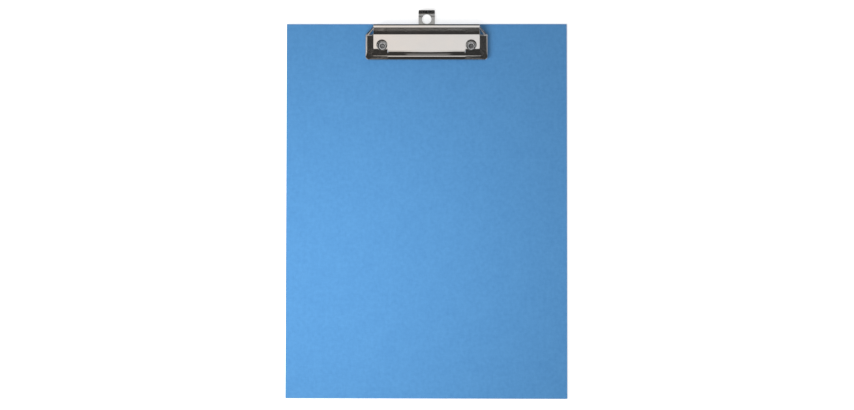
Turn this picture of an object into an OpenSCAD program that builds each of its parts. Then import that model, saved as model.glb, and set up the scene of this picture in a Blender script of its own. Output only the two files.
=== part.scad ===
// Clipboard: a paper-covered greyboard panel with a sprung sheet-metal clip and a
// sliding hanging hook. It lies on its back: the origin is the centre of the back face,
// +X to the right, +Y towards the clip, +Z out of the front. Millimetres.

/* [Board] */
// Width of the board
board_w = 240; // [200:1:260]
// Height of the board
board_h = 320; // [280:1:350]
// Thickness of the greyboard core
core_t = 2.4; // [1.6:0.1:3.2]
// Thickness of the covering paper
paper_t = 0.2; // [0.1:0.05:0.3]
// Width of the cover's turn-in round the back
turn_in = 14; // [10:1:20]
// Bare margin between the board's edge and the back liner
liner_margin = 4; // [2:0.5:8]

/* [Jaw] */
// Width of the jaw over its side skirts
jaw_w = 104.6; // [90:0.2:120]
// Depth of the jaw from its lip to the end of the thumb lever
jaw_depth = 29.4; // [27:0.1:34]
// Set-back of the thumb lever's end from the board's top edge
lever_set_back = 2; // [0:0.5:4]
// Thickness of the pressed steel sheet
sheet_t = 0.8; // [0.6:0.1:1]
// Height of the jaw's flat plate above the board
plate_h = 9.4; // [9.3:0.1:11]
// Height of the ledge above the lip
ledge_h = 6.8; // [6:0.1:7.2]
// Height of the thumb lever's crest above the board
lever_h = 12.8; // [12.4:0.1:15]
// Width of the sloping arm on each side of the plate
arm_run = 5.6; // [4:0.1:6]
// Drop of the arm from the plate to its outer edge
arm_drop = 2.9; // [2:0.1:3.2]
// Width of the bevel between the arm and the side skirt
bevel = 1.5; // [1:0.1:2]
// Radius of the lip's corners seen from above
corner_r = 3.5; // [2:0.1:5]
// Gap between the lip and the board when the jaw is shut
lip_gap = 0.2; // [0.1:0.05:0.4]
// Radius of the bend between the ledge and the lip's wall
lip_r = 2.2; // [1.6:0.1:3]
// Depth of the ledge
ledge_run = 1.6; // [1:0.1:2.4]
// Depth of the slope from the ledge to the plate, between the corners
centre_slope_run = 3.4; // [2.6:0.1:4]
// Depth of the same slope at the two corners
corner_slope_run = 4.7; // [4.4:0.1:5.4]
// Width of each corner, from the skirt's outer face to the step in the slope
corner_w = 19.3; // [17:0.1:22]
// Depth of the sloping shoulders beside the thumb lever
shoulder_run = 7.5; // [6:0.1:8.5]
// Depth of the thumb lever from the crease in the plate to its end
lever_run = 8.1; // [7:0.1:9]
// Depth of the lever's flat crest
crest_run = 3.4; // [2.4:0.1:4]
// Drop of the lever's rounded end below its crest
lever_end_drop = 0.8; // [0.4:0.1:1]
// Radius of the two holes over the rivets
access_r = 4.7; // [4.2:0.1:5.2]

/* [Hinge] */
// Distance of the hinge axis from the end of the thumb lever
pivot_set_back = 9; // [8.6:0.1:10]
// Height of the hinge axis above the board
pivot_h = 5; // [4.8:0.05:5.2]
// Radius of the hinge pin
pin_r = 1.25; // [1:0.05:1.4]
// Running clearance of the pin in the jaw
pin_gap = 0.05; // [0.02:0.01:0.08]
// Distance from the skirt's outer face to the end of the pin
pin_end_gap = 0.15; // [0.05:0.05:0.4]
// Clearance of the pin in the base plate's ears
ear_gap = 0.02; // [0.01:0.01:0.04]
// Radius of the base plate's ears round the pin
ear_r = 2.4; // [2.2:0.1:2.6]
// Distance from the skirt's outer face to the outside of the ear
ear_inset = 6.6; // [6.2:0.1:7.5]

/* [Spring] */
// Diameter of the spring wire
wire_d = 1.3; // [1:0.05:1.4]
// Radius of the coil at the middle of the wire
coil_r = 2.4; // [2.2:0.05:2.5]
// Full turns in the coil
coil_turns = 8; // [6:1:10]
// Spacing of the turns
coil_pitch = 1.4; // [1.4:0.05:1.6]
// Gap at the tips of the spring's legs
leg_gap = 0.1; // [0.05:0.01:0.2]
// Gap between the upper leg and the crease in the jaw
crease_gap = 0.4; // [0.3:0.05:0.5]

/* [Base plate and rivets] */
// Gap between the lip's wall and the front edge of the base plate
base_gap = 1.8; // [1:0.1:2.4]
// Distance from the end of the thumb lever to the rear edge of the base plate
base_set_back = 3.6; // [3.4:0.1:4]
// Distance from the skirt's outer face to the rivet
rivet_inset = 14.3; // [14:0.1:22]
// Distance from the lip to the rivets
rivet_set_back = 12.2; // [11:0.1:14]
// Outer radius of the rivets' tubes
rivet_r = 2; // [1.8:0.05:2.2]
// Radius of the hollow through the rivets
hollow_r = 1.6; // [1.4:0.05:1.7]
// Radius of the rolled heads on the front
head_r = 3.9; // [3.4:0.1:4.1]
// Height of the rolled heads
head_t = 1.1; // [0.8:0.1:1.4]
// Radius of the flat heads on the back
flange_r = 3.5; // [3:0.1:4]
// Thickness of the flat heads on the back
flange_t = 0.5; // [0.4:0.05:0.6]
// Clearance round the rivets and under the base plate's moving parts
fit_gap = 0.05; // [0.02:0.01:0.08]

/* [Hanging hook] */
// Width of the hook
hook_w = 14; // [12:0.5:15]
// Thickness of the hook
hook_t = 0.8; // [0.6:0.05:0.85]
// Metal on each side of the hanging hole
hook_rim = 3; // [2.5:0.1:3.5]
// Distance from the board's top edge to the centre of the hanging hole
hook_hole_reach = 4.1; // [3.9:0.1:4.3]
// Distance from the board's top edge to the start of the hook's curl
curl_reach = 6.2; // [5.6:0.1:7]
// Radius of the curl at its upper face
curl_r = 3.6; // [3:0.1:5]
// Angle through which the tip curls up
curl_angle = 55; // [45:1:60]
// Length of the straight end beyond the curl
tip_length = 3.2; // [2:0.1:4]
// Width of the hook's head inside the channel
hook_head_w = 18; // [17:0.5:20]
// Depth of the hook's head
hook_head_run = 3.8; // [3:0.1:5]
// Depth of the two stops at the channel's mouth
stop_run = 1.5; // [1:0.1:2]
// Sliding clearance of the hook in its channel
slide_gap = 0.08; // [0.04:0.01:0.1]

/* [Hidden] */

// Smoothness of round parts and of bends, and an overshoot for clean cuts
round_fn = 48;
bend_steps = 6;
past = 1;

// Levels of the layers, up from the back
turn_in_z = paper_t;
core_z = turn_in_z + paper_t;
cover_z = core_z + core_t;
face_z = cover_z + paper_t;

// Places along the board
top_y = board_h / 2;
lever_y = top_y - lever_set_back;
lip_y = lever_y - jaw_depth;
ledge_y = lip_y + lip_r;
slope_y = ledge_y + ledge_run;
crease_y = lever_y - lever_run;
crest_y = lever_y - crest_run;
pivot_y = lever_y - pivot_set_back;
rivet_y = lip_y + rivet_set_back;
base_front_y = lip_y + sheet_t + base_gap;
base_rear_y = lever_y - base_set_back;
shoulder_rear_y = lever_y - lever_end_drop;
shoulder_y = shoulder_rear_y - shoulder_run;

// Places across the jaw and levels over the board
skirt_x = jaw_w / 2;
arm_x = skirt_x - bevel;
plate_x = arm_x - arm_run;
step_x = skirt_x - corner_w;
rivet_x = skirt_x - rivet_inset;
lip_z = face_z + lip_gap;
ledge_z = face_z + ledge_h;
plate_z = face_z + plate_h;
arm_z = plate_z - arm_drop;
lever_z = face_z + lever_h;
pivot_z = face_z + pivot_h;
base_z = face_z + sheet_t;

// The tail of each skirt rises behind the hinge, so that it clears the board when the jaw opens
skirt_rise = 35;
skirt_tail_z = lip_z + (lever_y - pivot_y) * tan(skirt_rise);

// The base plate's ears, and its raised channel for the hook
ear_x = skirt_x - ear_inset;
hook_z = face_z + slide_gap;
channel_top_z = hook_z + hook_t + slide_gap;
channel_x = hook_head_w / 2 + slide_gap;
mouth_x = hook_w / 2 + slide_gap;
bridge_z = channel_top_z + sheet_t;

// The hook's places when it is drawn out, and its hanging hole
curl_y = top_y + curl_reach;
hook_hole_r = hook_w / 2 - hook_rim;
hook_head_y = base_rear_y - stop_run - slide_gap;

// The spring's coil and legs
wire_r = wire_d / 2;
coil_half = coil_turns * coil_pitch / 2;
coil_steps = 12;
wire_sides = 8;
leg_rise = 10;

// Every corner of an open line moved by d to the left of its course, ends square
function unit(v) = v / norm(v);
function left(v) = [-v[1], v[0]];
function course(line, i) = unit(line[i + 1] - line[i]);
function shift(line, i, d) =
    let (last = len(line) - 1)
    let (a = left(course(line, max(i - 1, 0))))
    let (b = left(course(line, min(i, last - 1))))
    line[i] + d * (a + b) / (1 + a * b);
function beside(line, d) = [for (i = [0 : len(line) - 1]) shift(line, i, d)];

// Points of an arc from angle a to angle b
function arc(centre, r, a, b) =
    [for (i = [0 : bend_steps])
        centre + r * [cos(a + (b - a) * i / bend_steps), sin(a + (b - a) * i / bend_steps)]];

function mirrored(line) = [for (i = [len(line) - 1 : -1 : 0]) [-line[i][0], line[i][1]]];

// The jaw's outer surface from the lever's end to the lip, as points across (y, z);
// extra lengthens both ends so that the inner surface cuts right through
function lever_line(extra) = [
    [lever_y + extra, lever_z - lever_end_drop - extra],
    [lever_y - lever_end_drop, lever_z],
    [crest_y, lever_z],
    [crease_y, plate_z]
];

function front_line(slope_run, extra) = concat(
    [[slope_y + slope_run, plate_z], [slope_y, ledge_z]],
    arc([ledge_y, ledge_z - lip_r], lip_r, 90, 180),
    [[lip_y, lip_z - extra]]
);

function skin_line(slope_run, extra) = concat(lever_line(extra), front_line(slope_run, extra));

// The jaw's outer surface from above the plate down to the skirt's foot, as points (x, z)
function skirt_line(extra) = [
    [plate_x, lever_z + past],
    [plate_x, plate_z],
    [arm_x, arm_z],
    [skirt_x, arm_z - bevel],
    [skirt_x, lip_z - extra]
];

// The jaw's edge seen from above, from the middle of the lip to the lever's end
function plan_line(extra) = concat(
    [[0, lip_y]],
    arc([skirt_x - corner_r, lip_y + corner_r], corner_r, -90, 0),
    [[skirt_x, shoulder_y], [plate_x, shoulder_rear_y], [plate_x, lever_y + extra]]
);

module along_x(from, to) {
    translate([from, 0, 0])
        rotate([90, 0, 90])
            linear_extrude(to - from)
                children();
}

module along_y(from, to) {
    translate([0, to, 0])
        rotate([90, 0, 0])
            linear_extrude(to - from)
                children();
}

// The block that the jaw's outer faces bound, from one side limit to the other
module jaw_block(slope_run, limit_x) {
    along_x(-limit_x, limit_x)
        polygon(concat(
            skin_line(slope_run, 0),
            [[pivot_y, lip_z], [lever_y, skirt_tail_z]]
        ));
}

// The hollow inside it, open below and behind
module jaw_hollow(slope_run, limit_x) {
    along_x(-limit_x, limit_x)
        polygon(concat(
            beside(skin_line(slope_run, past + sheet_t), sheet_t),
            [[lever_y + past + sheet_t, lip_z - past]]
        ));
}

module jaw_sides(d, extra) {
    skirt = beside(skirt_line(extra), -d);
    plan = beside(plan_line(extra), d);
    intersection() {
        along_y(lip_y - past, lever_y + 2 * past + sheet_t)
            polygon(concat(skirt, mirrored(skirt)));
        translate([0, 0, lip_z - 2 * past])
            linear_extrude(lever_z - lip_z + 4 * past)
                polygon(concat(plan, mirrored(plan)));
    }
}

module jaw_shell() {
    difference() {
        intersection() {
            jaw_sides(0, 0);
            union() {
                jaw_block(corner_slope_run, skirt_x + past);
                jaw_block(centre_slope_run, step_x);
            }
        }
        intersection() {
            jaw_sides(sheet_t, past);
            union() {
                jaw_hollow(corner_slope_run, skirt_x + past);
                jaw_hollow(centre_slope_run, step_x - sheet_t);
            }
        }
    }
}

module at_rivets() {
    for (side = [-1, 1])
        translate([side * rivet_x, rivet_y, 0])
            children();
}

module pin_bore(r) {
    along_x(-skirt_x - past, skirt_x + past)
        translate([pivot_y, pivot_z])
            circle(r, $fn = round_fn);
}

// Holes through the board for the rivets, with seats for their heads on the back
module rivet_holes() {
    at_rivets() {
        translate([0, 0, -past])
            cylinder(h = face_z + 2 * past, r = rivet_r + fit_gap, $fn = round_fn);
        translate([0, 0, -past])
            cylinder(h = past + flange_t + 2 * fit_gap, r = flange_r + fit_gap, $fn = round_fn);
    }
}

module slab(inset, z, t) {
    translate([inset - board_w / 2, inset - board_h / 2, z])
        cube([board_w - 2 * inset, board_h - 2 * inset, t]);
}

module board_core() {
    color([0.62, 0.6, 0.56])
        difference() {
            slab(paper_t, core_z, core_t);
            rivet_holes();
        }
}

// The blue paper over the front, round the four edges and turned in on the back
module front_cover() {
    color([0.3, 0.56, 0.8])
        difference() {
            slab(0, turn_in_z, face_z - turn_in_z);
            slab(paper_t, core_z, core_t);
            slab(turn_in, turn_in_z - past, paper_t + 2 * past);
            rivet_holes();
        }
}

// The paper over the back, which also fills the step inside the turn-ins
module back_liner() {
    color([0.29, 0.53, 0.77])
        difference() {
            union() {
                slab(liner_margin, 0, paper_t);
                slab(turn_in, 0, 2 * paper_t);
            }
            rivet_holes();
        }
}

module ear(x) {
    along_x(x - sheet_t, x)
        difference() {
            union() {
                translate([pivot_y, pivot_z])
                    circle(ear_r, $fn = round_fn);
                translate([pivot_y - ear_r, face_z])
                    square([2 * ear_r, pivot_z - face_z]);
            }
            translate([pivot_y, pivot_z])
                circle(pin_r + ear_gap, $fn = round_fn);
        }
}

// Cross-section of the base plate, with the raised channel for the hook
module base_section() {
    difference() {
        union() {
            translate([-ear_x, face_z])
                square([2 * ear_x, sheet_t]);
            translate([-channel_x - sheet_t, face_z])
                square([2 * (channel_x + sheet_t), bridge_z - face_z]);
        }
        translate([-channel_x, face_z - past])
            square([2 * channel_x, channel_top_z - face_z + past]);
    }
}

module channel_stop(side) {
    low_x = side > 0 ? mouth_x : -channel_x;
    translate([low_x, base_rear_y - stop_run, face_z])
        cube([channel_x - mouth_x, stop_run, channel_top_z - face_z]);
}

module base_plate() {
    color([0.7, 0.7, 0.71])
        difference() {
            union() {
                along_y(base_front_y, base_rear_y)
                    base_section();
                ear(ear_x);
                ear(sheet_t - ear_x);
                channel_stop(-1);
                channel_stop(1);
            }
            at_rivets()
                translate([0, 0, face_z - past])
                    cylinder(h = sheet_t + 2 * past, r = rivet_r + fit_gap, $fn = round_fn);
        }
}

module jaw() {
    color([0.82, 0.81, 0.79])
        difference() {
            jaw_shell();
            pin_bore(pin_r + pin_gap);
            at_rivets()
                translate([0, 0, ledge_z])
                    cylinder(h = lever_z - ledge_z, r = access_r, $fn = round_fn);
        }
}

module hinge_pin() {
    end_x = skirt_x - pin_end_gap;
    color([0.66, 0.66, 0.67])
        along_x(-end_x, end_x)
            translate([pivot_y, pivot_z])
                circle(pin_r, $fn = round_fn);
}

// The spring's wire: a leg on the bridge, the coil round the pin, a leg under the lever
coil_sweep = 360 * coil_turns - 180 - leg_rise;
coil_count = ceil(coil_sweep / 360 * coil_steps);
function coil_point(i) =
    let (a = -90 - coil_sweep * i / coil_count)
    [coil_half * (2 * i / coil_count - 1), pivot_y + coil_r * cos(a), pivot_z + coil_r * sin(a)];
spring_path = concat(
    [[-coil_half, base_rear_y - wire_r, bridge_z + wire_r + leg_gap]],
    [for (i = [0 : coil_count]) coil_point(i)],
    [[coil_half, crease_y, plate_z - sheet_t - wire_r - crease_gap],
        [coil_half, lever_y - crest_run / 2, lever_z - sheet_t - wire_r - leg_gap]]
);

// A round bar swept along a path that stays nearly square to the X axis
module bar_along(path, r) {
    last = len(path) - 1;
    n = wire_sides;
    rings = [for (i = [0 : last])
        let (t = unit(path[min(i + 1, last)] - path[max(i - 1, 0)]))
        let (v = unit(cross([1, 0, 0], t)))
        let (u = cross(t, v))
        for (k = [0 : n - 1])
            path[i] + r * (cos(360 * k / n) * u + sin(360 * k / n) * v)];
    sides = [for (i = [0 : last - 1], k = [0 : n - 1])
        let (j = (k + 1) % n)
        [i * n + j, i * n + k, (i + 1) * n + k, (i + 1) * n + j]];
    ends = [[for (k = [0 : n - 1]) k], [for (k = [n - 1 : -1 : 0]) last * n + k]];
    polyhedron(rings, concat(sides, ends));
}

module torsion_spring() {
    color([0.55, 0.55, 0.56])
        bar_along(spring_path, wire_r);
}

// A tubular rivet: flat head in the board's back, rolled head on the base plate
module rivet() {
    edge = head_t / 2;
    translate([0, rivet_y, 0])
        rotate_extrude($fn = round_fn)
            polygon([
                [hollow_r, fit_gap],
                [flange_r, fit_gap],
                [flange_r, fit_gap + flange_t],
                [rivet_r, fit_gap + flange_t],
                [rivet_r, base_z],
                [head_r, base_z],
                [head_r, base_z + head_t - edge],
                [head_r - edge, base_z + head_t],
                [hollow_r + edge, base_z + head_t],
                [hollow_r, base_z + head_t - edge]
            ]);
}

module rivet_left() {
    color([0.74, 0.74, 0.75])
        translate([-rivet_x, 0, 0])
            rivet();
}

module rivet_right() {
    color([0.74, 0.74, 0.75])
        translate([rivet_x, 0, 0])
            rivet();
}

// The hook lies in the channel: a wide head that the stops hold, a tongue with the
// hanging hole, and a curled-up tip
module hanging_hook() {
    curl_centre = [curl_y, hook_z + hook_t + curl_r];
    straight = tip_length * [cos(curl_angle), sin(curl_angle)];
    upper_face = arc(curl_centre, curl_r, -90, curl_angle - 90);
    lower_face = arc(curl_centre, curl_r + hook_t, curl_angle - 90, -90);
    color([0.72, 0.72, 0.72])
        difference() {
            union() {
                translate([-hook_head_w / 2, hook_head_y - hook_head_run, hook_z])
                    cube([hook_head_w, hook_head_run, hook_t]);
                translate([-hook_w / 2, hook_head_y - hook_head_run, hook_z])
                    cube([hook_w, curl_y - hook_head_y + hook_head_run, hook_t]);
                along_x(-hook_w / 2, hook_w / 2)
                    polygon(concat(
                        [[curl_y - past, hook_z], [curl_y - past, hook_z + hook_t]],
                        upper_face,
                        [upper_face[bend_steps] + straight, lower_face[0] + straight],
                        lower_face
                    ));
            }
            translate([0, top_y + hook_hole_reach, hook_z - past])
                cylinder(h = curl_r, r = hook_hole_r, $fn = round_fn);
        }
}

board_core();
front_cover();
back_liner();
base_plate();
jaw();
hinge_pin();
torsion_spring();
rivet_left();
rivet_right();
hanging_hook();
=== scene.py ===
"""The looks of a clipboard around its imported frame, in the order in which it is put together."""

import bmesh
import bpy
import math
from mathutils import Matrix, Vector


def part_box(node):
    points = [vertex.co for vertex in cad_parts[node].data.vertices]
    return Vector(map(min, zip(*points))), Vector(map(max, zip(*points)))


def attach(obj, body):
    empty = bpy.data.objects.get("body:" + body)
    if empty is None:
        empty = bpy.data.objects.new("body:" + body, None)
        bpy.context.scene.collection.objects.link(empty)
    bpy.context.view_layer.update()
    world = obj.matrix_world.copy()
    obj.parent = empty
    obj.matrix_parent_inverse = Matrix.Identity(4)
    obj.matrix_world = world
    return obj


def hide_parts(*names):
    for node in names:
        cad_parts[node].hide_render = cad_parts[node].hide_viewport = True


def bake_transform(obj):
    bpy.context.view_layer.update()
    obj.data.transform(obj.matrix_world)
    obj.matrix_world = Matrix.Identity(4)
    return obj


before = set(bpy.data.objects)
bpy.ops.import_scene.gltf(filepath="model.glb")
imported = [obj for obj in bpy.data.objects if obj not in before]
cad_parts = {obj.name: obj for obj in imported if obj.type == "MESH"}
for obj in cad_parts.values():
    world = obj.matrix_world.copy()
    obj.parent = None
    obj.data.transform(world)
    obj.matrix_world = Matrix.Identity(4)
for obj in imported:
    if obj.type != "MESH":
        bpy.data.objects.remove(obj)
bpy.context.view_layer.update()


# ---- Greyboard core ----
# A stiff panel of solid pulp board, cut to size and drilled for the two rivets.
# The paper hides it all round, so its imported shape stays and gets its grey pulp.

mm = 0.001


def new_finish(name, metallic=0.0, roughness=0.5):
    """A material's node tree and shader, and the piece's own coordinates."""
    material = bpy.data.materials.new(name)
    material.use_nodes = True
    tree = material.node_tree
    shader = tree.nodes["Principled BSDF"]
    shader.inputs["Metallic"].default_value = metallic
    shader.inputs["Roughness"].default_value = roughness
    place = tree.nodes.new("ShaderNodeTexCoord").outputs["Object"]
    return material, tree, shader, place


def noise(tree, place, size, detail=2.0, drawn_out=(1, 1, 1)):
    """Blotches about size across, drawn out by those factors along the axes."""
    mapping = tree.nodes.new("ShaderNodeMapping")
    mapping.inputs["Scale"].default_value = [1 / (size * mm * f) for f in drawn_out]
    tree.links.new(place, mapping.inputs["Vector"])
    texture = tree.nodes.new("ShaderNodeTexNoise")
    texture.inputs["Scale"].default_value = 1.0
    texture.inputs["Detail"].default_value = detail
    tree.links.new(mapping.outputs["Vector"], texture.inputs["Vector"])
    return texture.outputs["Fac"]


def weighed(tree, parts):
    """The sum of (pattern, weight) pairs."""
    total = None
    for pattern, weight in parts:
        step = tree.nodes.new("ShaderNodeMath")
        step.operation = "MULTIPLY_ADD"
        step.inputs[1].default_value = weight
        step.inputs[2].default_value = 0.0
        tree.links.new(pattern, step.inputs[0])
        if total is not None:
            tree.links.new(total, step.inputs[2])
        total = step.outputs[0]
    return total


def coloured(tree, pattern, stops):
    """Colours at places along a pattern, given as (place, colour) pairs."""
    ramp = tree.nodes.new("ShaderNodeValToRGB")
    for stop in stops[2:]:
        ramp.color_ramp.elements.new(stop[0])
    for element, (position, colour) in zip(ramp.color_ramp.elements, stops):
        element.position = position
        element.color = (*colour, 1)
    tree.links.new(pattern, ramp.inputs["Fac"])
    return ramp.outputs["Color"]


def ranged(tree, pattern, low, high, start=0.3, end=0.7):
    """The pattern's start to end spread over low to high."""
    spread = tree.nodes.new("ShaderNodeMapRange")
    for name, value in (("From Min", start), ("From Max", end), ("To Min", low), ("To Max", high)):
        spread.inputs[name].default_value = value
    tree.links.new(pattern, spread.inputs["Value"])
    return spread.outputs["Result"]


def relief(tree, shader, height, depth, strength=1.0):
    """Raises the shader's surface by the height pattern times depth in millimetres."""
    bump = tree.nodes.new("ShaderNodeBump")
    bump.inputs["Distance"].default_value = depth * mm
    bump.inputs["Strength"].default_value = strength
    tree.links.new(height, bump.inputs["Height"])
    tree.links.new(bump.outputs["Normal"], shader.inputs["Normal"])


def give(piece, material):
    piece.data.materials.clear()
    piece.data.materials.append(material)


pulp, tree, shader, place = new_finish("grey_pulp", roughness=0.92)
flecks = noise(tree, place, 1.1, detail=4.0, drawn_out=(2.5, 1, 1))
layers = noise(tree, place, 0.5, drawn_out=(40, 40, 1))
pulp_pattern = weighed(tree, [(flecks, 0.6), (layers, 0.4)])
pulp_colours = [(0.3, (0.36, 0.34, 0.31)), (0.5, (0.47, 0.45, 0.41)), (0.72, (0.58, 0.56, 0.52))]
tree.links.new(coloured(tree, pulp_pattern, pulp_colours), shader.inputs["Base Color"])
relief(tree, shader, pulp_pattern, depth=0.06)
give(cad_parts["board_core"], pulp)


# ---- Front cover ----
# One sheet of blue covering paper with a fine embossed grain, glued over the front of
# the board, drawn round its four edges and turned in on the back with mitred corners.

cover_low, cover_high = (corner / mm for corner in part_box("front_cover"))
rivet_low, rivet_high = (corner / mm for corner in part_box("rivet_right"))
rivet_x = (rivet_low.x + rivet_high.x) / 2
rivet_y = (rivet_low.y + rivet_high.y) / 2
paper_t = 0.2
turn_in = 14.0
fold_r = 0.3
tube_hole_r = 2.05


def edit(piece):
    """Opens the piece alone in edit mode, with nothing selected."""
    bpy.ops.object.select_all(action="DESELECT")
    bpy.context.view_layer.objects.active = piece
    piece.select_set(True)
    bpy.ops.object.mode_set(mode="EDIT")
    bpy.ops.mesh.select_all(action="DESELECT")


def close():
    bpy.ops.object.mode_set(mode="OBJECT")


def select(kind, test, add=False):
    """Selects each vertex, edge or face all of whose corners pass the test, in millimetres."""
    bpy.ops.mesh.select_mode(type=kind)
    if not add:
        bpy.ops.mesh.select_all(action="DESELECT")
    mesh = bmesh.from_edit_mesh(bpy.context.edit_object.data)
    parts = {"VERT": mesh.verts, "EDGE": mesh.edges, "FACE": mesh.faces}[kind]
    for part in parts:
        corners = [part] if kind == "VERT" else part.verts
        if all(test(corner.co / mm) for corner in corners):
            part.select_set(True)
    mesh.select_flush_mode()
    bmesh.update_edit_mesh(bpy.context.edit_object.data)


def near(a, b, slack=0.02):
    return abs(a - b) < slack


def move(x=0.0, y=0.0, z=0.0):
    bpy.ops.transform.translate(value=(x * mm, y * mm, z * mm))


def stretch(x=1.0, y=1.0, z=1.0, about=(0, 0, 0)):
    bpy.ops.transform.resize(value=(x, y, z), center_override=[c * mm for c in about])


def pull(x=0.0, y=0.0, z=0.0):
    """Extrudes what is selected."""
    bpy.ops.mesh.extrude_region_move(TRANSFORM_OT_translate={"value": (x * mm, y * mm, z * mm)})


def modify(piece, kind, **settings):
    """Adds a modifier with those settings and applies it."""
    bpy.ops.object.select_all(action="DESELECT")
    bpy.context.view_layer.objects.active = piece
    piece.select_set(True)
    modifier = piece.modifiers.new(kind.lower(), kind)
    for name, value in settings.items():
        setattr(modifier, name, value)
    bpy.ops.object.modifier_apply(modifier=modifier.name)


def block(name, low, high):
    """A box between two corners, as a start."""
    middle = [(a + b) / 2 * mm for a, b in zip(low, high)]
    size = [(b - a) * mm for a, b in zip(low, high)]
    bpy.ops.mesh.primitive_cube_add(size=1, location=middle, scale=size)
    piece = bpy.context.active_object
    piece.name = name
    bpy.ops.object.transform_apply(location=True, rotation=True, scale=True)
    return piece


def rod(name, radius, start, end, sides=48):
    """A round bar between two points that lie along X or Z, as a start or to cut with."""
    length = max(abs(b - a) for a, b in zip(start, end))
    lies_on_x = abs(end[0] - start[0]) > abs(end[2] - start[2])
    bpy.ops.mesh.primitive_cylinder_add(
        vertices=sides,
        radius=radius * mm,
        depth=length * mm,
        location=[(a + b) / 2 * mm for a, b in zip(start, end)],
        rotation=(0, math.pi / 2 if lies_on_x else 0, 0),
    )
    piece = bpy.context.active_object
    piece.name = name
    bpy.ops.object.transform_apply(location=True, rotation=True, scale=True)
    return piece


def cut(piece, tool):
    """Cuts the tool out of the piece and removes the tool."""
    modify(piece, "BOOLEAN", operation="DIFFERENCE", solver="EXACT", object=tool)
    bpy.data.objects.remove(tool)


def break_edges(piece, width, sharp=60.0):
    """Merges what the cuts left too close together, then takes the sharp edges off."""
    closest = 0.01 * mm
    edit(piece)
    bpy.ops.mesh.select_all(action="SELECT")
    bpy.ops.mesh.remove_doubles(threshold=closest)
    bpy.ops.mesh.dissolve_degenerate(threshold=closest)
    bpy.ops.mesh.normals_make_consistent(inside=False)
    close()
    modify(
        piece,
        "BEVEL",
        width=width * mm,
        segments=2,
        limit_method="ANGLE",
        angle_limit=math.radians(sharp),
    )


def smooth(piece, angle=35.0):
    """Smooth bends and true flats."""
    bpy.ops.object.select_all(action="DESELECT")
    bpy.context.view_layer.objects.active = piece
    piece.select_set(True)
    bpy.ops.object.shade_smooth_by_angle(angle=math.radians(angle))
    modify(piece, "WEIGHTED_NORMAL", mode="FACE_AREA", weight=100, keep_sharp=True)


def weld_on(piece, *others):
    """Makes the others part of the piece, whose metal they reach into."""
    bpy.ops.object.select_all(action="DESELECT")
    for part in (piece, *others):
        part.select_set(True)
    bpy.context.view_layer.objects.active = piece
    bpy.ops.object.join()


def drill_for_rivets(piece, radius, low_z, high_z):
    for side in (-1, 1):
        x = side * rivet_x
        drill = rod("drill", radius, (x, rivet_y, low_z), (x, rivet_y, high_z))
        cut(piece, drill)


cover = block("cover_paper_front", cover_low, cover_high)
edit(cover)
bpy.ops.mesh.select_all(action="SELECT")
bpy.ops.mesh.bevel(offset=fold_r * mm, segments=3, affect="EDGES")
select("FACE", lambda p: near(p.z, cover_low.z))
bpy.ops.mesh.inset(thickness=(turn_in - fold_r) * mm)
bpy.ops.mesh.delete(type="FACE")
close()
modify(cover, "SOLIDIFY", thickness=paper_t * mm, offset=-1, use_even_offset=True)
drill_for_rivets(cover, tube_hole_r, cover_high.z - 1, cover_high.z + 1)
smooth(cover)

blue_paper, tree, shader, place = new_finish("blue_covering_paper", roughness=0.5)
shader.inputs["Specular IOR Level"].default_value = 0.5
clouds = noise(tree, place, 14, detail=1.0)
mottle = noise(tree, place, 3.2, detail=3.0)
along = noise(tree, place, 0.55, detail=1.0, drawn_out=(1, 7, 1))
across = noise(tree, place, 0.55, detail=1.0, drawn_out=(7, 1, 1))
grain = weighed(tree, [(along, 0.5), (across, 0.5)])
paper_pattern = weighed(tree, [(clouds, 0.15), (mottle, 0.5), (grain, 0.35)])
paper_colours = [
    (0.32, (0.085, 0.302, 0.651)),
    (0.5, (0.102, 0.338, 0.698)),
    (0.68, (0.119, 0.374, 0.745)),
]
tree.links.new(coloured(tree, paper_pattern, paper_colours), shader.inputs["Base Color"])
tree.links.new(ranged(tree, mottle, 0.44, 0.56), shader.inputs["Roughness"])
relief(tree, shader, grain, depth=0.09)
give(cover, blue_paper)
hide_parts("front_cover")
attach(cover, "board")


# ---- Back liner ----
# A sheet of the same paper, glued over the back and over the turn-ins, whose inner
# edges show through it as a faint step.

liner_low, liner_high = (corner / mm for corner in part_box("back_liner"))
liner_t = 0.2
step_run = 1.2
step_rise = 0.14
seat_r = 3.55

liner = block("liner_paper_back", liner_low, (liner_high.x, liner_high.y, liner_low.z + liner_t))
edit(liner)
select("FACE", lambda p: near(p.z, liner_low.z))
bpy.ops.mesh.inset(thickness=(turn_in - (cover_high.x - liner_high.x)) * mm)
bpy.ops.mesh.inset(thickness=step_run * mm)
move(z=step_rise)
select("FACE", lambda p: near(p.z, liner_low.z + liner_t))
bpy.ops.mesh.inset(thickness=(turn_in - (cover_high.x - liner_high.x)) * mm)
bpy.ops.mesh.inset(thickness=step_run * mm)
move(z=step_rise)
close()
drill_for_rivets(liner, seat_r, liner_low.z - 1, liner_high.z + 1)
smooth(liner)
give(liner, blue_paper)
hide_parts("back_liner")
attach(liner, "board")


# ---- Base plate ----
# Pressed nickel-plated steel, riveted to the board: a flat plate with a raised channel
# for the hook, two lugs that stop the hook's head, and two ears that hold the pin.

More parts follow.
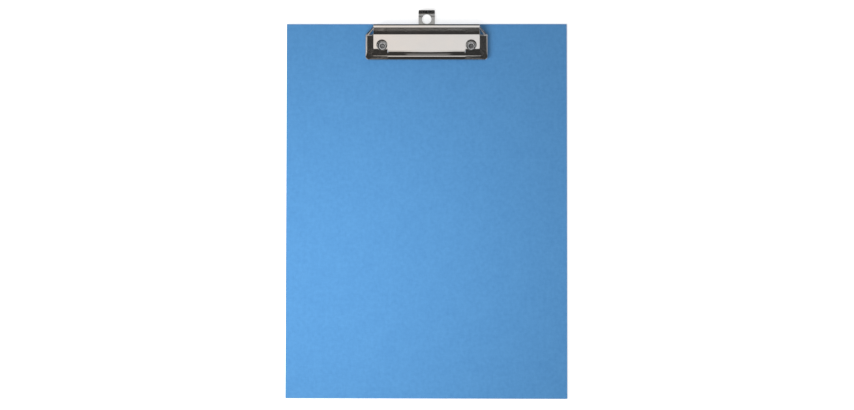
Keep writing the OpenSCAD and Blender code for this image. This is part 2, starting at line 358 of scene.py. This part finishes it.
base_low, base_high = (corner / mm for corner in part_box("base_plate"))
jaw_low, jaw_high = (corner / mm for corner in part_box("jaw"))
pin_low, pin_high = (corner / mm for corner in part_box("hinge_pin"))
hook_low, hook_high = (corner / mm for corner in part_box("hanging_hook"))
sheet_t = 0.8
slide_gap = 0.08
pivot_y = (pin_low.y + pin_high.y) / 2
pivot_z = (pin_low.z + pin_high.z) / 2
pin_r = (pin_high.z - pin_low.z) / 2
ear_r = 2.4
ear_slack = 0.02
lug_run = 1.5
lug_lift = 0.02
weld_depth = 0.1
mouth_x = 7.08
base_top = base_low.z + sheet_t
bridge_x = hook_high.x + slide_gap + sheet_t
bridge_top = hook_low.z + sheet_t + slide_gap + sheet_t
cut_edge_r = 0.12

bpy.ops.mesh.primitive_plane_add(size=1)
base = bpy.context.active_object
base.name = "clip_base_plate"
edit(base)
bpy.ops.mesh.select_all(action="SELECT")
depth_y = base_high.y - base_low.y
stretch(x=2 * base_high.x * mm, y=depth_y * mm)
move(y=(base_low.y + base_high.y) / 2, z=base_top)
for x in (-bridge_x, bridge_x):
    bpy.ops.mesh.select_all(action="SELECT")
    bpy.ops.mesh.bisect(plane_co=(x * mm, 0, 0), plane_no=(1, 0, 0))
select("FACE", lambda p: abs(p.x) < bridge_x + 0.1)
pull(z=bridge_top - base_top)
# the channel is open at both ends
for y in (base_low.y, base_high.y):
    select("FACE", lambda p: near(p.y, y))
    bpy.ops.mesh.delete(type="FACE")
close()
modify(base, "SOLIDIFY", thickness=sheet_t * mm, offset=-1, use_even_offset=True)
drill_for_rivets(base, tube_hole_r, base_low.z - 1, base_top + 1)
break_edges(base, cut_edge_r)
for side in (-1, 1):
    inner_x, outer_x = side * (base_high.x - sheet_t), side * base_high.x
    ear = rod("ear", ear_r, (inner_x, pivot_y, pivot_z), (outer_x, pivot_y, pivot_z))
    edit(ear)
    select("VERT", lambda p: p.z < pivot_z - 0.05)
    stretch(z=0, about=(0, 0, base_low.z + weld_depth))
    close()
    drill_ends = [(x, pivot_y, pivot_z) for x in (inner_x - 1, outer_x + 1)]
    cut(ear, rod("drill", pin_r + ear_slack, *drill_ends))
    break_edges(ear, cut_edge_r)
    # the broken edges meet in slivers at the ear's foot
    edit(ear)
    bpy.ops.mesh.select_all(action="SELECT")
    bpy.ops.mesh.dissolve_degenerate(threshold=0.001 * mm)
    close()
    lug_low_x, lug_high_x = sorted((side * mouth_x, side * (bridge_x - sheet_t + weld_depth)))
    lug = block(
        "lug",
        (lug_low_x, base_high.y - lug_run, base_low.z + lug_lift),
        (lug_high_x, base_high.y, bridge_top - sheet_t + weld_depth),
    )
    break_edges(lug, cut_edge_r)
    weld_on(base, ear, lug)
smooth(base)


def plated(name, colours, roughness, smear, brushed=(1, 1, 1), waviness=0.0, painted_reflection_lean=0.0):
    """Nickel plating: its tint drifts, or leans from left to right as a painted reflection that is
    warmer and brighter on the left, and finger smears dull it.
    """
    material, tree, shader, place = new_finish(name, metallic=1.0, roughness=roughness)
    drift = noise(tree, place, 22, detail=2.0)
    lines = noise(tree, place, 0.16, detail=2.0, drawn_out=brushed)
    smears = noise(tree, place, 7, detail=3.0)
    sides = tree.nodes.new("ShaderNodeSeparateXYZ")
    tree.links.new(place, sides.inputs[0])
    # painted reflection: a left-to-right ramp that shifts the tint, weighed in by the lean
    across = ranged(tree, sides.outputs["X"], 0, 1, start=-45 * mm, end=45 * mm)
    shade = weighed(tree, [(drift, 0.8 - painted_reflection_lean), (lines, 0.2), (across, painted_reflection_lean)])
    tint = coloured(tree, shade, list(zip((0.35, 0.65), colours)))
    tree.links.new(tint, shader.inputs["Base Color"])
    dull = weighed(tree, [(smears, 0.7), (lines, 0.3)])
    dulled = ranged(tree, dull, roughness - smear, roughness + smear)
    tree.links.new(dulled, shader.inputs["Roughness"])
    waves = noise(tree, place, 30, detail=0.0)
    relief(tree, shader, weighed(tree, [(lines, 0.0006), (waves, waviness)]), depth=1.0)
    return material


base_steel = plated(
    "nickel_base_steel",
    ((0.6, 0.59, 0.57), (0.68, 0.67, 0.65)),
    roughness=0.24,
    smear=0.06,
    brushed=(30, 1, 1),
)
give(base, base_steel)
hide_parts("base_plate")
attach(base, "board")


# ---- Rivets ----
# Two nickel-plated tubular rivets: a flat head let into the back of the board, a tube
# through board and plate, and a mouth rolled outwards over the plate.

hollow_r = 1.6
tube_r = 2.0
roll_r = rivet_high.x - rivet_x
flange_r = 3.5
flange_low = rivet_low.z
flange_t = 0.5
flange_edge = 0.2
mouth_edge = 0.15
roll_steps = 8
roll_low = base_top
roll_mid = (hollow_r + roll_r) / 2
roll_half = (roll_r - hollow_r) / 2
roll_rise = rivet_high.z - roll_low


def turned(name, x, y, outline, sides=48):
    """A ring of metal turned from an outline of (radius, height) points, as on a lathe."""
    bpy.ops.mesh.primitive_circle_add(
        vertices=sides,
        radius=outline[0][0] * mm,
        location=(x * mm, y * mm, outline[0][1] * mm),
    )
    piece = bpy.context.active_object
    piece.name = name
    bpy.ops.object.transform_apply(location=True, rotation=True, scale=True)
    edit(piece)
    bpy.ops.mesh.select_all(action="SELECT")
    for (radius, height), (next_radius, next_height) in zip(outline, outline[1:] + outline[:1]):
        pull(z=next_height - height)
        share = next_radius / radius
        stretch(x=share, y=share, about=(x, y, next_height))
    bpy.ops.mesh.select_all(action="SELECT")
    bpy.ops.mesh.remove_doubles(threshold=0.001 * mm)
    bpy.ops.mesh.normals_make_consistent(inside=False)
    close()
    return piece


rolled = [
    (
        roll_mid + roll_half * math.cos(math.pi * i / roll_steps),
        roll_low + roll_rise * math.sin(math.pi * i / roll_steps),
    )
    for i in range(roll_steps + 1)
]
rivet_outline = [
    (hollow_r, flange_low + mouth_edge),
    (hollow_r + mouth_edge, flange_low),
    (flange_r - flange_edge, flange_low),
    (flange_r, flange_low + flange_edge),
    (flange_r, flange_low + flange_t),
    (tube_r, flange_low + flange_t),
    (tube_r, roll_low),
    *rolled,
]
rivet_steel = plated(
    "nickel_rivet_steel",
    ((0.62, 0.62, 0.63), (0.72, 0.72, 0.72)),
    roughness=0.16,
    smear=0.07,
)
for side, name in ((-1, "left"), (1, "right")):
    rivet = turned("tube_rivet_" + name, side * rivet_x, rivet_y, rivet_outline)
    smooth(rivet, angle=50)
    give(rivet, rivet_steel)
    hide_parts("rivet_" + name)
    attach(rivet, "board")


# ---- Hanging hook ----
# A plated steel tongue that slides in the base plate's channel: a wide head that the
# lugs stop, a hole to hang it by, and a tip curled up to grip it with.

hook_t = 0.8
tongue_x = 7.0
head_run = 3.8
hang_hole_y = 164.1
hang_hole_r = 4.0
curl_start_y = 164.68
tip_corner_r = 1.0
# the tip's rise, as (length, tilt in degrees): a shallow step, then the curl
tip_rise = [
    (0.5, 7),
    (0.5, 14),
    (0.6, 21),
    (0.6, 23),
    (0.5, 19),
    (0.45, 13),
    (0.45, 10),
    (0.4, 18),
    (0.4, 27),
    (0.5, 35),
    (0.6, 43),
    (2.1, 52),
]

hook_top = hook_low.z + hook_t
bpy.ops.mesh.primitive_plane_add(size=1)
hook = bpy.context.active_object
hook.name = "hook_tongue"
edit(hook)
bpy.ops.mesh.select_all(action="SELECT")
stretch(x=2 * tongue_x * mm, y=(curl_start_y - hook_low.y) * mm)
move(y=(curl_start_y + hook_low.y) / 2, z=hook_top)
bpy.ops.mesh.bisect(plane_co=(0, (hook_low.y + head_run) * mm, 0), plane_no=(0, 1, 0))
for side in (-1, 1):
    select("EDGE", lambda p: near(p.x, side * tongue_x) and p.y < hook_low.y + head_run + 0.1)
    pull(x=side * (hook_high.x - tongue_x))
select("EDGE", lambda p: near(p.y, curl_start_y))
for length, tilt in tip_rise:
    pull(y=length * math.cos(math.radians(tilt)), z=length * math.sin(math.radians(tilt)))
bpy.ops.mesh.select_mode(type="VERT")
bpy.ops.mesh.bevel(offset=tip_corner_r * mm, segments=4, affect="VERTICES")
close()
modify(hook, "SOLIDIFY", thickness=hook_t * mm, offset=-1, use_even_offset=True)
cut(hook, rod("drill", hang_hole_r, (0, hang_hole_y, 0), (0, hang_hole_y, 20), sides=64))
break_edges(hook, cut_edge_r)
smooth(hook)
hook_steel = plated(
    "nickel_hook_steel",
    ((0.37, 0.365, 0.355), (0.46, 0.455, 0.445)),
    roughness=0.28,
    smear=0.05,
    brushed=(1, 25, 1),
)
give(hook, hook_steel)
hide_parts("hanging_hook")
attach(hook, "hook")


# ---- Hinge pin ----
# A length of drawn steel rod through the jaw's skirts and the base plate's ears, its
# two ends rounded over.

pin_dome = 0.5

pin = rod("hinge_rod", pin_r, (pin_low.x, pivot_y, pivot_z), (pin_high.x, pivot_y, pivot_z))
edit(pin)
for x in (pin_low.x, pin_high.x):
    select("EDGE", lambda p: near(p.x, x), add=True)
bpy.ops.mesh.bevel(offset=pin_dome * mm, segments=4, affect="EDGES")
close()
smooth(pin)


def drawn_steel(name, colours, drawn_out):
    """Bright steel drawn through a die, which leaves fine lines along it."""
    material, tree, shader, place = new_finish(name, metallic=1.0, roughness=0.3)
    lines = noise(tree, place, 0.12, detail=3.0, drawn_out=drawn_out)
    tint = coloured(tree, lines, list(zip((0.3, 0.7), colours)))
    tree.links.new(tint, shader.inputs["Base Color"])
    tree.links.new(ranged(tree, lines, 0.24, 0.38), shader.inputs["Roughness"])
    relief(tree, shader, lines, depth=0.006)
    return material


give(pin, drawn_steel("drawn_pin_steel", ((0.52, 0.52, 0.52), (0.66, 0.66, 0.66)), (40, 1, 1)))
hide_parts("hinge_pin")
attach(pin, "board")


# ---- Torsion spring ----
# Spring wire wound round the pin: one leg presses on the base plate's bridge, the other
# under the thumb lever, so the coil twists as the jaw opens.

wire_r = 0.65
coil_r = 2.4
coil_x = 5.6
coil_turns = 2690 / 360
points_per_turn = 24
leg_foot = (153.75, 5.51)
leg_bend = (149.9, 10.55)
leg_tip = (156.3, 14.25)

route = [(-coil_x, *leg_foot)]
coil_points = round(coil_turns * points_per_turn)
for i in range(coil_points + 1):
    share = i / coil_points
    turn = math.tau * coil_turns * share
    route.append(
        (
            coil_x * (2 * share - 1),
            pivot_y - coil_r * math.sin(turn),
            pivot_z - coil_r * math.cos(turn),
        )
    )
route += [(coil_x, *leg_bend), (coil_x, *leg_tip)]
bpy.ops.curve.primitive_nurbs_path_add()
spring = bpy.context.active_object
spring.name = "spring_wire"
spring.data.splines.clear()
wire = spring.data.splines.new("POLY")
wire.points.add(len(route) - 1)
for point, at in zip(wire.points, route):
    point.co = [*(c * mm for c in at), 1]
spring.data.bevel_depth = wire_r * mm
spring.data.bevel_resolution = 3
spring.data.use_fill_caps = True
bpy.ops.object.convert(target="MESH")
bpy.ops.object.transform_apply(location=True, rotation=True, scale=True)
edit(spring)
bpy.ops.mesh.select_all(action="SELECT")
bpy.ops.mesh.remove_doubles(threshold=0.001 * mm)
bpy.ops.mesh.normals_make_consistent(inside=False)
close()
smooth(spring, angle=60)
give(spring, drawn_steel("drawn_spring_steel", ((0.4, 0.4, 0.41), (0.56, 0.56, 0.57)), (1, 1, 1)))
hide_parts("torsion_spring")
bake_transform(spring)


# ---- Jaw ----
# The clip's upper part, drawn and folded from one nickel-plated steel sheet: a flat plate
# between sloping arms, a lip that grips the paper, skirts for the pin, a thumb lever.

plate_x = 45.2
plate_z = 12.4
slope_top_y = 135.1
slope_foot_y = 131.9
ledge_z = 9.8
arm_foot_x = 50.8
arm_foot_z = 9.5
skirt_top_z = 8.0
corner_top_y = 137.7
corner_tilt = math.radians(23.5)
corner_x = 33.0
corner_step_w = 0.8
crease_y = 149.6
crest_y = 155.3
shoulder_y = 149.7
shoulder_rear_y = 157.2
lever_sag = 0.09
tail_slope = math.tan(math.radians(35))
plate_bend_r = 5.0
plate_bend_steps = 6
side_bend_r = 1.5
ledge_bend_r = 0.85
ledge_end_y = 131.2
lip_tilt = math.radians(33)
lip_r = 0.85
skirt_bend_r = 1.0
lever_bend_r = 1.5
tail_y = 156.95
tail_tilt = math.radians(29)
lever_end_r = 0.85
first_corner_r = 0.9
arm_corner_r = 5.0
last_corner_r = 3.0
cheek_edge_r = 0.25
access_r = 4.7
pin_gap = 0.05
dent_x = 1.2
dent_half = 23.0
dent_depth = 0.4
dent_steps = 16
dent_reach = 1.8


def bend(corner, before, after, radius, steps):
    """Points round a bend at a sharp corner (out, up), between the sheet's two downward tilts."""
    way = math.copysign(1, after - before)
    reach = radius * math.tan(abs(after - before) / 2)
    centre_out = corner[0] - reach * math.cos(before) - way * radius * math.sin(before)
    centre_up = corner[1] + reach * math.sin(before) - way * radius * math.cos(before)
    tilts = [before + (after - before) * i / steps for i in range(steps + 1)]
    return [
        (centre_out + way * radius * math.sin(t), centre_up + way * radius * math.cos(t))
        for t in tilts
    ]


flat, upright = 0.0, math.pi / 2
slope_tilt = math.atan2(plate_z - ledge_z, slope_top_y - slope_foot_y)
arm_tilt = math.atan2(plate_z - arm_foot_z, arm_foot_x - plate_x)
skirt_x, lip_y, foot_z = jaw_high.x, jaw_low.y, jaw_low.z
lip_top_z = ledge_z - (ledge_end_y - lip_y) * math.tan(lip_tilt)
# the rim is drawn down in rings, each with a point (out, up) in front and one at the sides,
# which are equally high as far as ring arm_end, at the foot of the arms
arm_end = 10
front = [
    *bend((-slope_top_y, plate_z), flat, slope_tilt, plate_bend_r, plate_bend_steps),
    *bend((-slope_foot_y, ledge_z), slope_tilt, flat, ledge_bend_r, 2),
    *bend((-ledge_end_y, ledge_z), flat, lip_tilt, ledge_bend_r, 2),
    *bend((-lip_y, lip_top_z), lip_tilt, upright, lip_r, 3),
    (-lip_y, foot_z),
]


def slope_out(up, top_out, tilt):
    """How far out a slope is at a height, from where it would leave the plate with no bend."""
    drop = plate_z - up
    turn = math.acos(max(1 - drop / side_bend_r, math.cos(tilt)))
    if turn < tilt - 0.001:
        return top_out + side_bend_r * (math.sin(turn) - math.tan(tilt / 2))
    return top_out + drop / math.tan(tilt)


side = [
    *[(slope_out(up, plate_x, arm_tilt), up) for _, up in front[:arm_end]],
    *bend((arm_foot_x, arm_foot_z), arm_tilt, upright / 2, side_bend_r, 2),
    *bend((skirt_x, skirt_top_z), upright / 2, upright, skirt_bend_r, 3),
    (skirt_x, foot_z),
]
corner_radii = [
    first_corner_r + (arm_corner_r - first_corner_r) * (plate_z - up) / (plate_z - ledge_z)
    for _, up in front[:arm_end]
]
corner_radii += [arm_corner_r] * 3 + [last_corner_r] * (len(side) - arm_end - 3)


def picked():
    mesh = bmesh.from_edit_mesh(bpy.context.edit_object.data)
    return [v.index for v in mesh.verts if v.select]


def pick_from(some, test):
    """Selects those of some vertices that pass the test, and the edges between them."""
    bpy.ops.mesh.select_mode(type="VERT")
    bpy.ops.mesh.select_all(action="DESELECT")
    mesh = bmesh.from_edit_mesh(bpy.context.edit_object.data)
    mesh.verts.ensure_lookup_table()
    for i in some:
        if test(mesh.verts[i].co / mm):
            mesh.verts[i].select_set(True)
    mesh.select_flush_mode()
    bmesh.update_edit_mesh(bpy.context.edit_object.data)


def draw_ring(i):
    """Draws the rim on by one ring round the plate's front and sides, and the shoulders."""
    (x, side_z), (new_x, new_side_z) = side[i], side[i + 1]
    (out, front_z), (new_out, new_front_z) = front[i], front[i + 1]
    r, new_r = corner_radii[i], corner_radii[i + 1]
    wider, lower = new_x - x, new_side_z - side_z
    new_low = min(new_side_z, new_front_z)
    drop = new_low - min(side_z, front_z)
    pull()
    ring = picked()
    pick_from(ring, lambda p: abs(p.x) < x - r - 0.01 and p.y < r - out + 0.01)
    move(y=out - new_out, z=new_front_z - front_z)
    for way in (-1, 1):
        pick_from(ring, lambda p: way * p.x > x - r - 0.01 and p.y > r - out + 0.01)
        move(x=way * wider, z=lower)
        pick_from(ring, lambda p: way * p.x > x - r - 0.01 and p.y < r - out + 0.01)
        move(x=way * wider, y=out - new_out, z=drop)
        share = new_r / r
        stretch(x=share, y=share, about=(way * new_x, -new_out, new_low))
    if i >= arm_end:
        pick_from(ring, lambda p: near(abs(p.x), plate_x) and p.y > rear_y)
        move(y=wider * slant / shoulder_w, z=lower)
        pick_from(ring, lambda p: abs(p.x) > arm_foot_x - 0.5 and p.y > pivot_y)
        move(y=wider * (slant - shoulder_l) / shoulder_w)
    pick_from(ring, lambda p: True)
    return ring


# the plate
shoulder_w = skirt_x - plate_x
shoulder_l = shoulder_rear_y - shoulder_y
slant = math.hypot(shoulder_w, shoulder_l)
lever_tilt = math.atan2(jaw_high.z - plate_z, crest_y - crease_y)
lever_foot = bend((crease_y, plate_z), flat, -lever_tilt, lever_bend_r, 3)
lever_head = bend((crest_y, jaw_high.z), -lever_tilt, flat, lever_bend_r, 3)
lever_middle = [(a + b) / 2 for a, b in zip(lever_foot[-1], lever_head[0])]
end_z = jaw_high.z - (jaw_high.y - tail_y) * math.tan(tail_tilt)
lever = [
    *lever_foot,
    lever_middle,
    *lever_head,
    *bend((tail_y, jaw_high.z), flat, tail_tilt, lever_end_r, 2),
    (jaw_high.y, end_z),
]
rear_y = lever[0][0]
plate_edge_x, plate_edge_y = side[0][0], -front[0][0]
bpy.ops.mesh.primitive_plane_add(size=1)
jaw = bpy.context.active_object
jaw.name = "jaw_shell"
edit(jaw)
bpy.ops.mesh.select_all(action="SELECT")
stretch(x=2 * plate_edge_x * mm, y=(rear_y - plate_edge_y) * mm)
move(y=(rear_y + plate_edge_y) / 2, z=plate_z)
dent_lines = [dent_x + dent_half * (2 * i / dent_steps - 1) for i in range(dent_steps + 1)]
step_ends = (corner_x - corner_step_w / 2, corner_x + corner_step_w / 2)
step_lines = [way * x for way in (-1, 1) for x in step_ends]
for x in (*dent_lines, *step_lines):
    bpy.ops.mesh.select_all(action="SELECT")
    bpy.ops.mesh.bisect(plane_co=(x * mm, 0, 0), plane_no=(1, 0, 0))
bpy.ops.mesh.select_all(action="SELECT")
bpy.ops.mesh.bisect(plane_co=(0, (pivot_y - 0.1) * mm, 0), plane_no=(0, 1, 0))
select("VERT", lambda p: near(abs(p.x), plate_edge_x) and near(p.y, plate_edge_y))
bpy.ops.mesh.bevel(offset=first_corner_r * mm, segments=5, affect="VERTICES")

# the thumb lever, drawn on from the plate's rear edge
select("EDGE", lambda p: near(p.y, rear_y))
for (out, up), (new_out, new_up) in zip(lever, lever[1:]):
    pull(y=new_out - out, z=new_up - up)
select("VERT", lambda p: p.y > rear_y + 0.05 and abs(p.x) > plate_edge_x - 0.1)
stretch(x=plate_x / plate_edge_x)
select("VERT", lambda p: near(p.y, lever_middle[0]) and abs(p.x) < plate_edge_x - 1)
move(z=-lever_sag)

# the arms and the front slope, as far as the foot of the arms
corner_reach = first_corner_r + 0.02
select(
    "EDGE",
    lambda p: p.y < rear_y + 0.01
    and (abs(p.x) > plate_edge_x - corner_reach or p.y < plate_edge_y + corner_reach),
)
bpy.ops.mesh.region_to_loop()
rim = picked()
pick_from(
    rim,
    lambda p: near(abs(p.x), plate_edge_x, corner_reach) or near(p.y, plate_edge_y, corner_reach),
)
for i in range(arm_end):
    draw_ring(i)
select("VERT", lambda p: near(abs(p.x), side[arm_end][0]) and near(p.y, rear_y))
move(y=shoulder_y - (skirt_x - side[arm_end][0]) * (slant - shoulder_l) / shoulder_w - rear_y)

# the shoulders, which run back from the arms to the lever's sides
shoulder_tip_y = shoulder_rear_y - (skirt_x - side[arm_end][0]) * slant / shoulder_w
for way in (-1, 1):
    select("VERT", lambda p: pivot_y < p.y < rear_y + 0.01 and way * p.x > plate_edge_x - 0.1)
    bpy.ops.mesh.select_mode(type="EDGE")
    pull()
    stretch(x=0, y=0, z=0, about=(way * plate_x, shoulder_tip_y, plate_z))
    bpy.ops.mesh.remove_doubles(threshold=0.001 * mm)

# the bends into the skirts and the lip, down to their foot
bpy.ops.mesh.select_mode(type="VERT")
bpy.ops.mesh.select_all(action="DESELECT")
bpy.ops.mesh.select_non_manifold(
    extend=False,
    use_wire=False,
    use_multi_face=False,
    use_non_contiguous=False,
)
rim = picked()
pick_from(
    rim,
    lambda p: p.z < ledge_z + 0.02
    or near(p.y, shoulder_tip_y, 0.05) and near(abs(p.x), plate_x),
)
for i in range(arm_end, len(side) - 1):
    ring = draw_ring(i)
pick_from(ring, lambda p: p.y > pivot_y and abs(p.x) > arm_foot_x)
move(z=(shoulder_y - pivot_y) * tail_slope)
pick_from(ring, lambda p: near(abs(p.x), plate_x) and p.y > rear_y)
tail_z = foot_z + (shoulder_rear_y - pivot_y) * tail_slope
tip_foot_z = plate_z - (side[arm_end][1] - foot_z)
move(z=tail_z - tip_foot_z)

# the shoulders stay open on top, between the arms' rear edges and the skirts
select(
    "FACE",
    lambda p: p.z > side[arm_end][1] - 0.01
    and (pivot_y - 0.5 < p.y < rear_y + 0.01 or near(p.y, shoulder_tip_y, 0.1))
    and abs(p.x) > plate_edge_x - 0.1,
)
bpy.ops.mesh.delete(type="FACE")

# and so do the bends over the skirts behind the pin, which rise towards the lever
rim_rise = plate_z - side[arm_end][1]
rim_low_z = side[-3][1] - 0.01
select(
    "FACE",
    lambda p: p.y > pivot_y + 0.1
    and abs(p.x) > plate_x - 0.1
    and p.z > rim_low_z + (rim_rise if abs(p.x) < arm_foot_x - 0.5 else 0),
)
bpy.ops.mesh.delete(type="FACE")

# the cheeks, which close the lever's sides
for way in (-1, 1):
    def on_cheek(p):
        return plate_edge_x - 0.01 < way * p.x < plate_x + 0.01 and p.y > rear_y - 0.01

    def on_tail(p):
        return near(p.z, tail_z) or near(p.z, end_z) and near(p.y, jaw_high.y)

    select("VERT", lambda p: on_cheek(p) and on_tail(p))
    bpy.ops.mesh.edge_face_add()
    select("EDGE", on_cheek)
    bpy.ops.mesh.edge_face_add()
select(
    "EDGE",
    lambda p: near(abs(p.x), plate_x) and p.y > rear_y and p.z > plate_z + cheek_edge_r,
)
bpy.ops.mesh.bevel(offset=cheek_edge_r * mm, segments=3, affect="EDGES")

# the front slope starts further back at its two ends, and has a shallow dent in its middle
for (out, up), r in zip(front[: plate_bend_steps + 1], corner_radii):
    select(
        "VERT",
        lambda p: corner_x < abs(p.x) < plate_x + 3
        and near(p.z, up, 0.005)
        and p.y < r - out + 0.05,
    )
    move(y=out - slope_out(up, -corner_top_y, corner_tilt))
for x in dent_lines[1:-1]:
    share = 1 - ((x - dent_x) / dent_half) ** 2
    select("VERT", lambda p: near(p.x, x) and near(p.y, slope_top_y, dent_reach))
    move(y=-dent_depth * share)
close()
modify(jaw, "SOLIDIFY", thickness=sheet_t * mm, offset=-1)

# the holes over the rivets, for the riveting tool, and the bores for the pin
for way in (-1, 1):
    x = way * rivet_x
    cut(jaw, rod("punch", access_r, (x, rivet_y, ledge_z), (x, rivet_y, plate_z + 1), sides=64))
    ends = sorted((way * (skirt_x - 2 * sheet_t), way * (skirt_x + 1)))
    bore = rod("bore", pin_r + pin_gap, (ends[0], pivot_y, pivot_z), (ends[1], pivot_y, pivot_z))
    cut(jaw, bore)
break_edges(jaw, cut_edge_r)
smooth(jaw)

# the jaw's plating is painted warmer and brighter on the left than on the right, a painted
# reflection
jaw_steel = plated(
    "nickel_jaw_steel",
    ((0.76, 0.695, 0.64), (0.685, 0.665, 0.65)),
    roughness=0.09,
    smear=0.03,
    brushed=(40, 1, 1),
    waviness=0.02,
    painted_reflection_lean=0.4,
)
give(jaw, jaw_steel)
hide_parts("jaw")
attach(jaw, "jaw")


# ---- Studio ----
# A pale table top that runs to the horizon, a plain soft sky whose reflection in the
# plated metal is a bright ceiling over dark walls, and one soft lamp from the left.

table_size = 6000.0
table_white = 0.92
table_glow = 0.66
sky_level = 0.28
lamp_place = (-135.0, -75.0, 340.0)
lamp_size = 320.0
lamp_watts = 1.25
camera_place = (16.2, -33.9, 1299.1)
camera_turn = (1.712, 0.693, 0.077)
camera_lens = 64.0
dim_horizon = 0.2
shade_place = (0.0, 100.0, 0.0)
shade_r = (58.0, 59.5)
# what the metal mirrors, as (degrees over the horizon, brightness): a white horizon, dark walls
# with one narrow line of light, and a bright ceiling
mirrored_walls = [
    (0, 1.0),
    (15.5, 1.0),
    (18, 0.045),
    (35.2, 0.045),
    (35.6, 0.6),
    (36.0, 0.045),
    (56, 0.04),
    (60, 1.0),
    (71, 1.0),
    (75.5, 0.35),
    (79.5, 0.97),
    (90, 1.0),
]

bpy.ops.mesh.primitive_plane_add(size=table_size * mm)
table = bpy.context.active_object
table.name = "table_top"
table_paint, tree, shader, place = new_finish("pale_table_paint", roughness=0.9)
shader.inputs["Specular IOR Level"].default_value = 0.0
speckle = noise(tree, place, 30, detail=3.0)
whites = [(0.3, (table_white - 0.004,) * 3), (0.7, (table_white,) * 3)]
tree.links.new(coloured(tree, speckle, whites), shader.inputs["Base Color"])
shader.inputs["Emission Color"].default_value = (1, 1, 1, 1)
rays = tree.nodes.new("ShaderNodeLightPath")
# the table glows for the camera alone, and not under the rivets' hollows
shaded = tree.nodes.new("ShaderNodeVectorMath")
shaded.operation = "DISTANCE"
shaded.inputs[1].default_value = [c * mm for c in shade_place]
tree.links.new(place, shaded.inputs[0])
shade_start, shade_end = (r * mm for r in shade_r)
beside = ranged(tree, shaded.outputs["Value"], 0, table_glow, start=shade_start, end=shade_end)
glow = tree.nodes.new("ShaderNodeMath")
glow.operation = "MULTIPLY"
tree.links.new(rays.outputs["Is Camera Ray"], glow.inputs[0])
tree.links.new(beside, glow.inputs[1])
tree.links.new(glow.outputs[0], shader.inputs["Emission Strength"])
give(table, table_paint)

world = bpy.data.worlds.new("soft_sky")
bpy.context.scene.world = world
world.use_nodes = True
tree = world.node_tree
tree.nodes.clear()
rays = tree.nodes.new("ShaderNodeLightPath")
way_up = tree.nodes.new("ShaderNodeSeparateXYZ")
tree.links.new(tree.nodes.new("ShaderNodeTexCoord").outputs["Generated"], way_up.inputs[0])
sky_stops = [(math.sin(math.radians(angle)), (level,) * 3) for angle, level in mirrored_walls]
low_sky = [(at, (level[0] * dim_horizon,) * 3) for at, level in sky_stops[:2]]
dim_stops = [*low_sky, *sky_stops[2:]]
walls = tree.nodes.new("ShaderNodeMixRGB")
aslant = tree.nodes.new("ShaderNodeMath")
aslant.operation = "MULTIPLY"
tree.links.new(way_up.outputs["X"], aslant.inputs[0])
tree.links.new(way_up.outputs["Y"], aslant.inputs[1])
slant_size = tree.nodes.new("ShaderNodeMath")
slant_size.operation = "ABSOLUTE"
tree.links.new(aslant.outputs[0], slant_size.inputs[0])
height = tree.nodes.new("ShaderNodeMath")
height.operation = "MULTIPLY"
tree.links.new(way_up.outputs["Z"], height.inputs[0])
tree.links.new(ranged(tree, slant_size.outputs[0], 1, 0.45, start=0.15, end=0.3), height.inputs[1])
dimmer = tree.nodes.new("ShaderNodeMath")
dimmer.operation = "MAXIMUM"
tree.links.new(ranged(tree, way_up.outputs["X"], 0, 1, start=0.75, end=0.95), dimmer.inputs[0])
tree.links.new(ranged(tree, way_up.outputs["Y"], 0, 1, start=-0.75, end=-0.95), dimmer.inputs[1])
tree.links.new(dimmer.outputs[0], walls.inputs["Fac"])
tree.links.new(coloured(tree, height.outputs[0], sky_stops), walls.inputs["Color1"])
tree.links.new(coloured(tree, height.outputs[0], dim_stops), walls.inputs["Color2"])


def background(colour, strength):
    node = tree.nodes.new("ShaderNodeBackground")
    if isinstance(colour, tuple):
        node.inputs["Color"].default_value = (*colour, 1)
    else:
        tree.links.new(colour, node.inputs["Color"])
    node.inputs["Strength"].default_value = strength
    return node.outputs[0]


def by_ray(ray, others, these):
    mix = tree.nodes.new("ShaderNodeMixShader")
    tree.links.new(rays.outputs[ray], mix.inputs[0])
    tree.links.new(others, mix.inputs[1])
    tree.links.new(these, mix.inputs[2])
    return mix.outputs[0]


plain = background((1, 1, 1), sky_level)
plain = by_ray("Is Glossy Ray", plain, background(walls.outputs["Color"], 1.0))
plain = by_ray("Is Transmission Ray", plain, background((1, 1, 1), 1.0))
plain = by_ray("Is Camera Ray", plain, background((1, 1, 1), 1.0))
surface = tree.nodes.new("ShaderNodeOutputWorld").inputs["Surface"]
tree.links.new(plain, surface)

bpy.ops.object.light_add(type="AREA", location=[c * mm for c in lamp_place])
lamp = bpy.context.active_object
lamp.name = "soft_lamp"
lamp.data.size = lamp_size * mm
lamp.data.energy = lamp_watts
lamp.rotation_euler = (-lamp.location).to_track_quat("-Z", "Y").to_euler()
lamp.visible_camera = False
lamp.visible_glossy = False

bpy.ops.object.camera_add(
    location=[c * mm for c in camera_place],
    rotation=[math.radians(angle) for angle in camera_turn],
)
camera = bpy.context.active_object
camera.data.lens = camera_lens
camera.data.clip_start = 0.01
bpy.context.scene.camera = camera
bpy.context.scene.view_settings.view_transform = "Standard"
